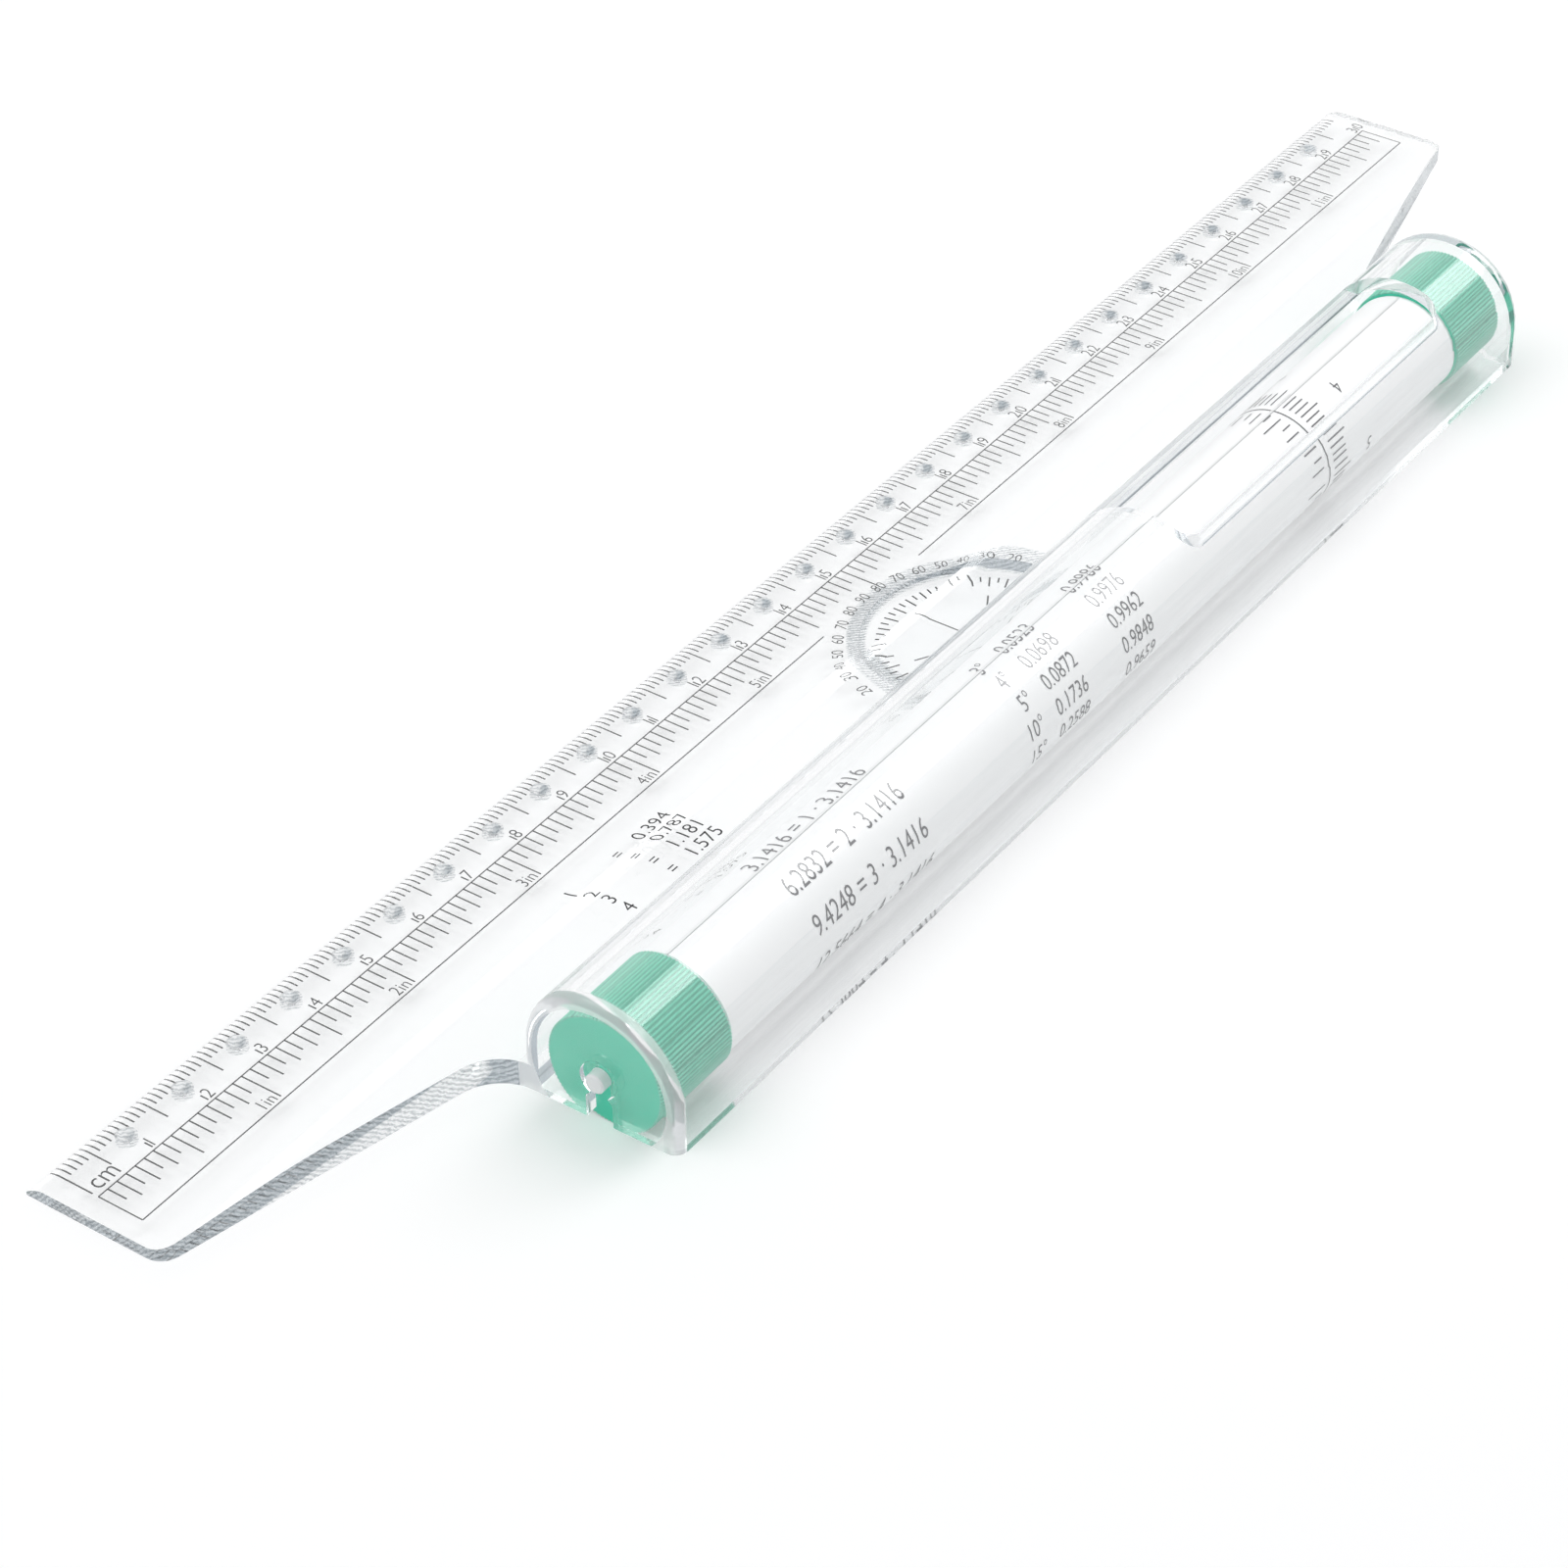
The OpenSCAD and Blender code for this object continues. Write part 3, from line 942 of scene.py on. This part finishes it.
@dataclass
class BladePrint:
    """Everything printed on the blade: both scales, their numbers and the small table.

    Depths of ticks are counted from the long line, towards the nose for centimetres and
    towards the housing for inches.
    """

    scale_l: float = 300.0
    line_y: float = 21.3
    line_w: float = 0.2
    frame_w: float = 6.9
    frame_gap: float = 11.6
    top_z: float = 3.7
    root_z: float = 5.8
    rise_y: float = 10.6
    rise_l: float = 7.5
    rise_steps: int = 11
    under_z: float = 1.9
    seen_shift: tuple[float, float] = (0.91, 0.66)
    lift: float = 0.015
    tick_w: float = 0.24
    tick_end: float = 7.3
    mm_tick: float = 5.2
    half_cm_tick: float = 2.5
    zero_tick: float = 0.9
    cm_tick: float = 5.3
    cm_stub: tuple[float, float] = (1.8, 0.5)
    figure_h: float = 2.1
    figure_foot: float = 0.45
    figure_half_gap: float = 0.35
    unit_h: float = 3.0
    unit_at: tuple[float, float] = (1.0, 0.7)
    inch_ticks: tuple[float, float, float, float] = (3.0, 4.0, 5.2, 6.3)
    inch_h: float = 2.0
    inch_at: tuple[float, float] = (-0.6, -6.4)
    inch_left_out: int = 6
    table_x: tuple[float, float, float] = (-75.3, -65.4, -61.5)
    table_y: float = 8.0
    table_rows: int = 4
    table_step: float = 2.95
    table_h: float = 2.3
    equals_h: float = 2.2
    table_narrow: float = 0.95

    def onto_top(self, flat: np.ndarray) -> np.ndarray:
        """Lays flat points onto the blade's top, as thick as the ink lies on it.

        From the rise on, the top is a half cosine wave up to the root's top.

        Args:
            flat: Flat points (N, 2).

        Returns:
            Points on the top (N, 3).
        """
        share = np.clip((self.rise_y - flat[:, 1]) / self.rise_l, 0.0, 1.0)
        rise = (self.root_z - self.top_z) * (1 - np.cos(np.pi * share)) / 2
        return np.column_stack([flat, self.top_z + rise + self.lift])

    def _place(self, x: np.ndarray, y: float) -> np.ndarray:
        """Turns ruler marks, counted from the scale's zero and line, into sheet points."""
        x = np.asarray(x, float)
        return np.stack([x - self.scale_l / 2, np.broadcast_to(y, x.shape) + self.line_y], 1)

    def _ticks(self, sheet: PrintSheet, x: np.ndarray, outer: float, inner: float) -> None:
        """Draws ticks at x from outer to inner, across the scale."""
        sheet.bars(self._place(x, outer), self._place(x, inner), self.tick_w)

    def centimetres(self, sheet: PrintSheet) -> None:
        """Draws the millimetre ticks along the nose and the numbers of the centimetres.

        The two figures of a number stand on both sides of its tick.

        Args:
            sheet: The sheet that is drawn on.
        """
        mm = np.arange(0, int(self.scale_l) + 1)
        whole = mm[(mm % 10 == 0) & (mm > 0)]
        for x, inner in ((mm[mm % 5 != 0], self.mm_tick),
                         (mm[mm % 10 == 5], self.half_cm_tick),
                         (mm[:1], self.zero_tick), (whole, self.cm_tick)):
            self._ticks(sheet, x, self.tick_end, inner)
        self._ticks(sheet, whole, *self.cm_stub)
        foot = self.line_y + self.figure_foot
        for x in whole:
            figures, middle = str(x // 10), x - self.scale_l / 2
            sheet.word(figures[-1], (middle + self.figure_half_gap, foot), self.figure_h)
            if len(figures) > 1:
                sheet.word(figures[0], (middle - self.figure_half_gap, foot), self.figure_h,
                           Anchor.END)
        sheet.word("cm", (self.unit_at[0] - self.scale_l / 2, self.line_y + self.unit_at[1]),
                   self.unit_h)

    def inches(self, sheet: PrintSheet) -> None:
        """Draws the inch scale below the line, in sixteenths, with its numbers.

        Args:
            sheet: The sheet that is drawn on.
        """
        part = np.arange(1, int(self.scale_l / INCH * 16) + 1)
        rules = (part % 2 == 1, (part % 2 == 0) & (part % 8 != 0), part % 16 == 8,
                 part % 16 == 0)
        for rule, depth in zip(rules, self.inch_ticks):
            self._ticks(sheet, (part * INCH / 16)[rule], 0.0, -depth)
        for n in range(1, int(self.scale_l / INCH) + 1):
            if n != self.inch_left_out:
                place = (n * INCH - self.scale_l / 2 + self.inch_at[0],
                         self.line_y + self.inch_at[1])
                sheet.word(f"{n}in", place, self.inch_h, Anchor.END)

    def lines(self, sheet: PrintSheet) -> None:
        """Draws the long line, the frame below it and the frame's short sides.

        Args:
            sheet: The sheet that is drawn on.
        """
        half, gap = self.scale_l / 2, self.frame_gap
        line, outer = self.line_y, self.line_y - self.frame_w
        sheet.bars(
            np.array([[-half, line], [-half, outer], [gap, outer], [-half, line],
                      [half, line]]),
            np.array([[half, line], [-gap, outer], [half, outer], [-half, outer],
                      [half, outer]]), self.line_w)

    def table(self, sheet: PrintSheet) -> None:
        """Writes a small plain table of centimetres and inches.

        Args:
            sheet: The sheet that is drawn on.
        """
        count_x, equals_x, inch_x = self.table_x
        for row in range(self.table_rows):
            y = self.table_y - self.table_step * row
            sheet.word(str(row + 1), (count_x, y), self.table_h, narrow=self.table_narrow)
            sheet.word("=", (equals_x, y), self.equals_h, Anchor.MIDDLE)
            sheet.word(f"{(row + 1) * 10 / INCH:.3f}", (inch_x, y), self.table_h,
                       narrow=self.table_narrow)

    def build(self, ink: bpy.types.Material) -> None:
        """Makes the two printed pieces, the scales and the table.

        The scales lie on the underside. They are measured as the photograph shows them
        on the top, so they move by what the plastic's refraction shifts them.

        Args:
            ink: The ink's material.
        """
        sheet = PrintSheet()
        self.lines(sheet)
        self.centimetres(sheet)
        self.inches(sheet)
        under = level(self.under_z - self.lift, self.seen_shift)
        finish_piece(sheet.lay("scale_print", under, UNCUT), ink, Body.RULER)
        small = PrintSheet()
        self.table(small)
        rise = np.linspace(self.rise_y - self.rise_l, self.rise_y, self.rise_steps)
        finish_piece(small.lay("table_print", self.onto_top, rise), ink, Body.RULER)


@dataclass
class ProtractorPrint:
    """The half protractor by the housing: ticks and three rays in its recess, figures."""

    blade: BladePrint
    centre: tuple[float, float] = (0.0, -4.0)
    recess_t: float = 0.8
    tick_outer: float = 14.85
    tick_inner: float = 12.7
    odd_tick: float = 1.0
    tick_step: int = 5
    rays: tuple[int, int, int] = (30, 90, 150)
    ray_r: tuple[float, float] = (3.5, 10.5)
    figures_at: tuple[float, float] = (-0.35, -4.0)
    figure_r: float = 18.9
    figure_h: float = 1.8
    figure_span: tuple[int, int] = (20, 160)
    figure_step: int = 10

    def _spokes(self, sheet: PrintSheet, degrees: np.ndarray, inner: float | np.ndarray,
                outer: float) -> None:
        """Draws bars away from the centre, from an inner to an outer radius.

        Args:
            sheet: The sheet that is drawn on.
            degrees: Direction of each bar.
            inner: Inner radius, one for all or one for each.
            outer: Outer radius.
        """
        way = np.stack([np.cos(np.radians(degrees)), np.sin(np.radians(degrees))], 1)
        sheet.bars(way * np.reshape(inner, (-1, 1)) + self.centre,
                   way * outer + self.centre, self.blade.tick_w)

    def build(self, ink: bpy.types.Material) -> None:
        """Makes the ticks and rays on the recess floor, and the figures underneath.

        Args:
            ink: The ink's material.
        """
        sheet = PrintSheet()
        degrees = np.arange(0, 181, self.tick_step)
        inner = np.where(degrees % 10 == 0, self.tick_inner, self.tick_inner + self.odd_tick)
        self._spokes(sheet, degrees, inner, self.tick_outer)
        self._spokes(sheet, np.array(self.rays), *self.ray_r)
        floor = level(self.blade.top_z - self.recess_t + self.blade.lift)
        finish_piece(sheet.lay("protractor_print", floor, UNCUT), ink, Body.RULER)
        figures = PrintSheet()
        first, last = self.figure_span
        for angle in range(first, last + 1, self.figure_step):
            a = math.radians(angle)
            place = (self.figures_at[0] + self.figure_r * math.cos(a),
                     self.figures_at[1] + self.figure_r * math.sin(a))
            figures.word(str(min(angle, 180 - angle)), place, self.figure_h, Anchor.MIDDLE,
                         turn=angle - 90)
        under = level(self.blade.under_z - self.blade.lift)
        finish_piece(figures.lay("protractor_figures", under, UNCUT), ink, Body.RULER)


# ---------------------------------------------------------------- the roller


@dataclass
class DrumPrint:
    """What is printed round the drum, and the white strip along the sleeve's seam that
    paints its highlight.

    Angles are in degrees from +Y, round the roller's axis. The ring scale's ticks and
    figures are placed from the ring.
    """

    radius: float = 8.0
    lift: float = 0.03
    slice_w: float = 0.45
    table_angles: tuple[int, ...] = (3, 4, 5, 10, 15)
    table_x: tuple[float, float, float] = (-20.2, -16.8, -0.5)
    table_first: float = 81.5
    table_step: float = 26.0
    table_h: float = 2.5
    table_drop: float = 1.1
    table_narrow: float = 0.8
    row_angles: tuple[float, ...] = (73.0, 114.0, 155.0, 196.0)
    row_x: float = -71.3
    row_h: float = 2.9
    row_drop: float = 1.3
    row_narrow: float = 0.78
    ring_x: float = 53.6
    ring_w: float = 0.26
    ring_steps: int = 120
    fourth_cm_angle: float = 111.0
    tick_w: float = 0.22
    mm_at: float = 1.4
    mm_ticks: tuple[float, float, float] = (8.6, 4.6, 3.6)
    inch_at: float = -1.2
    inch_ticks: tuple[float, float, float] = (4.6, 3.2, 2.0)
    figure_at: tuple[float, float] = (11.3, 1.0)
    figure_h: float = 2.4
    figure_turn: float = 180.0
    figure_narrow: float = 0.8
    seam_angle: float = 84.0
    seam_shift: float = 0.17
    seam_w: float = 0.42
    seam_cuts: tuple[float, float, float] = (-0.25, 0.0, 0.25)
    seam_x: float = 89.8

    def onto_drum(self, flat: np.ndarray) -> np.ndarray:
        """Rolls the sheet onto the drum.

        The sheet's height is the arc length from the drum's top, counted down the back,
        so the angle from +Y is 90 degrees less the height over the radius.

        Args:
            flat: Flat points (N, 2).

        Returns:
            Points on the drum (N, 3).
        """
        angle = np.pi / 2 - flat[:, 1] / self.radius
        reach = self.radius + self.lift
        return np.column_stack([flat[:, 0], ROLLER_AXIS[0] + reach * np.cos(angle),
                                ROLLER_AXIS[1] + reach * np.sin(angle)])

    def _height(self, degrees: float) -> float:
        """Gives the sheet height of a direction on the drum."""
        return math.radians(90.0 - degrees) * self.radius

    def table(self, sheet: PrintSheet) -> None:
        """Writes sines and cosines of five small angles, a plain table of numbers.

        Args:
            sheet: The sheet that is drawn on.
        """
        angle_x, sine_x, cosine_x = self.table_x
        for row, angle in enumerate(self.table_angles):
            y = self._height(self.table_first + self.table_step * row) - self.table_drop
            a = math.radians(angle)
            for text, x, anchor in ((f"{angle}°", angle_x, Anchor.END),
                                    (f"{math.sin(a):.4f}", sine_x, Anchor.START),
                                    (f"{math.cos(a):.4f}", cosine_x, Anchor.START)):
                sheet.word(text, (x, y), self.table_h, anchor, narrow=self.table_narrow)

    def rows(self, sheet: PrintSheet) -> None:
        """Writes four long rows of plain numbers, multiples of a half circle.

        Args:
            sheet: The sheet that is drawn on.
        """
        for count, angle in enumerate(self.row_angles, 1):
            sheet.word(f"{math.pi * count:.4f} = {count} · {math.pi:.4f}",
                       (self.row_x, self._height(angle) - self.row_drop), self.row_h,
                       narrow=self.row_narrow)

    def _ring_ticks(self, sheet: PrintSheet, y: np.ndarray, start: float,
                    length: np.ndarray) -> None:
        """Draws ticks at heights y that start beside the ring and run along the drum.

        Args:
            sheet: The sheet that is drawn on.
            y: Heights of the ticks on the sheet.
            start: Where they start, from the ring.
            length: Their lengths, below 0 to the left.
        """
        x = np.full(len(y), self.ring_x + start)
        sheet.bars(np.stack([x, y], 1), np.stack([x + length, y], 1), self.tick_w)

    def ring_scale(self, sheet: PrintSheet) -> None:
        """Draws the ring, sixteenths of an inch on its left and millimetres on its right.

        The scale starts four centimetres before its 4 and goes once round the drum.

        Args:
            sheet: The sheet that is drawn on.
        """
        round_l = 2 * math.pi * self.radius
        start = self._height(self.fourth_cm_angle) + 4 * 10
        mm = np.arange(0, math.floor(round_l))
        odd_cm, half_cm, plain = self.mm_ticks
        self._ring_ticks(sheet, start - mm, self.mm_at, np.where(
            mm % 20 == 10, odd_cm, np.where(mm % 5 == 0, half_cm, plain)))
        for n in range(1, int(round_l / 10) + 1):
            place = (self.ring_x + self.figure_at[0], start - n * 10 + self.figure_at[1])
            sheet.word(str(n), place, self.figure_h, Anchor.MIDDLE, turn=self.figure_turn,
                       narrow=self.figure_narrow)
        part = np.arange(0, math.floor(round_l / INCH * 16))
        half_inch, eighth, sixteenth = self.inch_ticks
        self._ring_ticks(sheet, start - part * INCH / 16, self.inch_at, -np.where(
            part % 8 == 0, half_inch, np.where(part % 2 == 0, eighth, sixteenth)))
        rounds = np.linspace(0.0, round_l, self.ring_steps + 1)
        ring = np.stack([np.full(len(rounds), self.ring_x), start - rounds], 1)
        sheet.bars(ring[:-1], ring[1:], self.ring_w)

    def seam(self, glue: bpy.types.Material) -> None:
        """Makes a white strip along the back side of the sleeve's seam, a painted highlight
        of the seam's edge.

        Args:
            glue: The material of the painted highlight.
        """
        sheet = PrintSheet()
        height = self._height(self.seam_angle) + self.seam_shift
        sheet.bars(np.array([-self.seam_x, height]), np.array([self.seam_x, height]),
                   self.seam_w)
        cuts = height + self.seam_w * np.array(self.seam_cuts)
        finish_piece(sheet.lay("painted_seam_highlight", self.onto_drum, cuts), glue, Body.ROLLER)

    def build(self, ink: bpy.types.Material) -> None:
        """Makes the printed piece.

        Args:
            ink: The ink's material.
        """
        sheet = PrintSheet()
        self.table(sheet)
        self.rows(sheet)
        self.ring_scale(sheet)
        flat = np.concatenate(sheet.points)[:, 1]
        slices = np.arange(flat.min(), flat.max(), self.slice_w)
        finish_piece(sheet.lay("drum_print", self.onto_drum, slices), ink, Body.ROLLER)


@dataclass
class Roller:
    """The white drum and the green wheels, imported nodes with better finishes."""

    tube: MouldedPlastic = MouldedPlastic(
        "white_tube", (0.86, 0.88, 0.885), (0.82, 0.84, 0.85), 0.32)
    # The sleeve glows a little by emission, painted light that makes the drum look more
    # brightly lit.
    sleeve: MouldedPlastic = MouldedPlastic(
        "printed_sleeve", (0.98, 0.985, 0.985), (0.965, 0.972, 0.974), 0.38,
        smudge=0.1, grain=0.12, brightener=0.08)
    plug: MouldedPlastic = MouldedPlastic(
        "white_plug", (0.84, 0.86, 0.86), (0.80, 0.82, 0.83), 0.22)
    wheel: MouldedPlastic = MouldedPlastic(
        "green_wheel", (0.065, 0.66, 0.445), (0.055, 0.61, 0.405), 0.36,
        smudge=0.1, hairline=0.0, grain=0.1, ribbed=True)
    # White of the strip that paints a highlight along the seam's edge.
    glue: MouldedPlastic = MouldedPlastic(
        "painted_seam_highlight", (0.95, 0.955, 0.955), (0.93, 0.94, 0.94), 0.3)

    def dress(self, shop: Workshop) -> None:
        """Gives every node of the roller its material.

        Args:
            shop: The shared node groups.
        """
        for finish, names in ((self.tube, ["drum_tube"]), (self.sleeve, ["scale_sleeve"]),
                              (self.plug, ["end_plug_left", "end_plug_right"]),
                              (self.wheel, ["wheel_left", "wheel_right"])):
            material = finish.make(shop)
            for name in names:
                node = frame["nodes"][name]
                node.data.materials.clear()
                node.data.materials.append(material)
                log.info("%s: %s", name, finish.name)


# ---------------------------------------------------------------- studio and camera


@dataclass(frozen=True)
class SoftBox:
    """A lamp that points at the origin: its place and size in metres, power in watts."""

    name: str
    place: tuple[float, float, float]
    size: tuple[float, float]
    power: float
    colour: Colour = (1.0, 1.0, 1.0)

    def hang(self) -> None:
        """Hangs the lamp."""
        data = bpy.data.lights.new(self.name, "AREA")
        data.shape = "RECTANGLE"
        data.size, data.size_y = self.size
        data.energy = self.power
        data.color = self.colour
        lamp = bpy.data.objects.new(self.name, data)
        lamp.location = self.place
        lamp.rotation_euler = (-Vector(self.place)).to_track_quat("-Z", "Y").to_euler()
        bpy.context.scene.collection.objects.link(lamp)


@dataclass
class Studio:
    """Plain pale floor, soft lamps, a pale room and the camera of the photograph.

    The key is long and hangs over the far end, the top one high behind the ruler, and the
    fill is a weak one on the near side.
    """

    boxes: tuple[SoftBox, ...] = (
        SoftBox("key", (0.885, -0.21, 1.185), (0.6, 1.4), 8.5),
        SoftBox("top", (-0.7, 0.7, 1.3), (1.0, 1.0), 8.0),
        SoftBox("fill", (-1.1, -0.9, 1.0), (1.2, 1.2), 2.0, (0.98, 0.99, 1.0)))
    floor_size: float = 6.0
    floor_colour: Colour = (0.95, 0.95, 0.95)
    floor_roughness: float = 0.9
    floor_glow: float = 0.11
    room_light: float = 0.45
    room_colour: Colour = (0.985, 0.99, 1.0)
    pale_side: Colour = (0.97, 0.98, 0.985)
    dark_side: Colour = (0.44, 0.47, 0.49)
    dark_way: tuple[float, float, float] = (-0.81, -0.586, 0.0)
    fade: tuple[float, float] = (0.35, 0.9)
    place: tuple[float, float, float] = (-401.013, -260.458, 351.706)
    right: tuple[float, float, float] = (0.5770761, -0.8165563, -0.0147948)
    down: tuple[float, float, float] = (-0.5104336, -0.3464735, -0.7870283)
    ahead: tuple[float, float, float] = (0.6375270, 0.4617270, -0.6167394)
    focal_px: float = 4422.9
    image_px: float = 1600.0
    sensor_mm: float = 36.0
    clip: tuple[float, float] = (0.01, 50.0)

    def camera(self) -> None:
        """Sets the camera up from its place and its three directions."""
        data = bpy.data.cameras.new("photo_camera")
        data.sensor_width = self.sensor_mm
        data.lens = self.focal_px * self.sensor_mm / self.image_px
        data.clip_start, data.clip_end = self.clip
        camera = bpy.data.objects.new("photo_camera", data)
        axes = (Vector(self.right), -Vector(self.down), -Vector(self.ahead))
        turn = Matrix(axes).transposed().to_4x4()
        camera.matrix_world = Matrix.Translation(Vector(self.place) * MM) @ turn
        bpy.context.scene.collection.objects.link(camera)
        bpy.context.scene.camera = camera

    def floor(self) -> None:
        """Makes the pale floor, which glows a little wherever it is seen or mirrored."""
        mesh = bpy.data.meshes.new("floor")
        h = self.floor_size / 2
        corners = [(-h, -h, 0), (h, -h, 0), (h, h, 0), (-h, h, 0)]
        mesh.from_pydata(corners, [], [(0, 1, 2, 3)])
        floor = bpy.data.objects.new("floor", mesh)
        bpy.context.scene.collection.objects.link(floor)
        material, bench, shader, _ = start_material("pale_floor")
        path = bench.add("ShaderNodeLightPath").outputs
        seen = bench.most(path["Is Camera Ray"], path["Is Glossy Ray"],
                          path["Is Transmission Ray"])
        bench.feed(shader, {
            "Base Color": (*self.floor_colour, 1.0), "Roughness": self.floor_roughness,
            "Specular IOR Level": 0.0, "Emission Color": WHITE,
            "Emission Strength": bench.times(seen, self.floor_glow)})
        floor.data.materials.append(material)

    def room(self) -> None:
        """Sets the room: white for the camera, even as light, half dark where mirrored."""
        world = bpy.data.worlds.new("room")
        world.use_nodes = True
        world.node_tree.nodes.clear()
        bench = NodeBench(world.node_tree)
        towards = bench.add("ShaderNodeVectorMath", {
            0: bench.add("ShaderNodeTexCoord").outputs["Generated"], 1: self.dark_way},
            operation="DOT_PRODUCT")
        ramp = bench.add("ShaderNodeValToRGB", {"Fac": towards.outputs["Value"]})
        for stop, place, colour in zip(ramp.color_ramp.elements, self.fade,
                                       (self.pale_side, self.dark_side)):
            stop.position, stop.color = place, (*colour, 1.0)
        mirrored, light, white = (
            bench.add("ShaderNodeBackground", feeds).outputs["Background"] for feeds in (
                {"Color": ramp.outputs["Color"]},
                {"Color": (*self.room_colour, 1.0), "Strength": self.room_light},
                {"Color": WHITE}))
        path = bench.add("ShaderNodeLightPath").outputs
        sharp = bench.most(path["Is Glossy Ray"], path["Is Transmission Ray"])
        unseen = bench.join(sharp, light, mirrored)
        bench.add("ShaderNodeOutputWorld", {
            "Surface": bench.join(path["Is Camera Ray"], unseen, white)})
        bpy.context.scene.world = world

    def build(self) -> None:
        """Builds the whole studio."""
        bpy.context.scene.view_settings.view_transform = "Standard"
        self.camera()
        self.floor()
        for box in self.boxes:
            box.hang()
        self.room()


def main() -> None:
    """Builds the studio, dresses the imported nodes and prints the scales."""
    logging.basicConfig(level=logging.INFO, format="%(name)s: %(message)s")
    Studio().build()
    shop = Workshop()
    roller = Roller()
    RulerBody().dress(shop)
    roller.dress(shop)
    blade_ink = Ink("blade_ink", dark=0.02, pale=0.045).make()
    drum_ink = Ink("drum_ink", dark=0.15, pale=0.24).make()
    blade = BladePrint()
    blade.build(blade_ink)
    ProtractorPrint(blade).build(blade_ink)
    drum = DrumPrint()
    drum.build(drum_ink)
    drum.seam(roller.glue.make(shop))


if __name__ == "__main__":
    main()
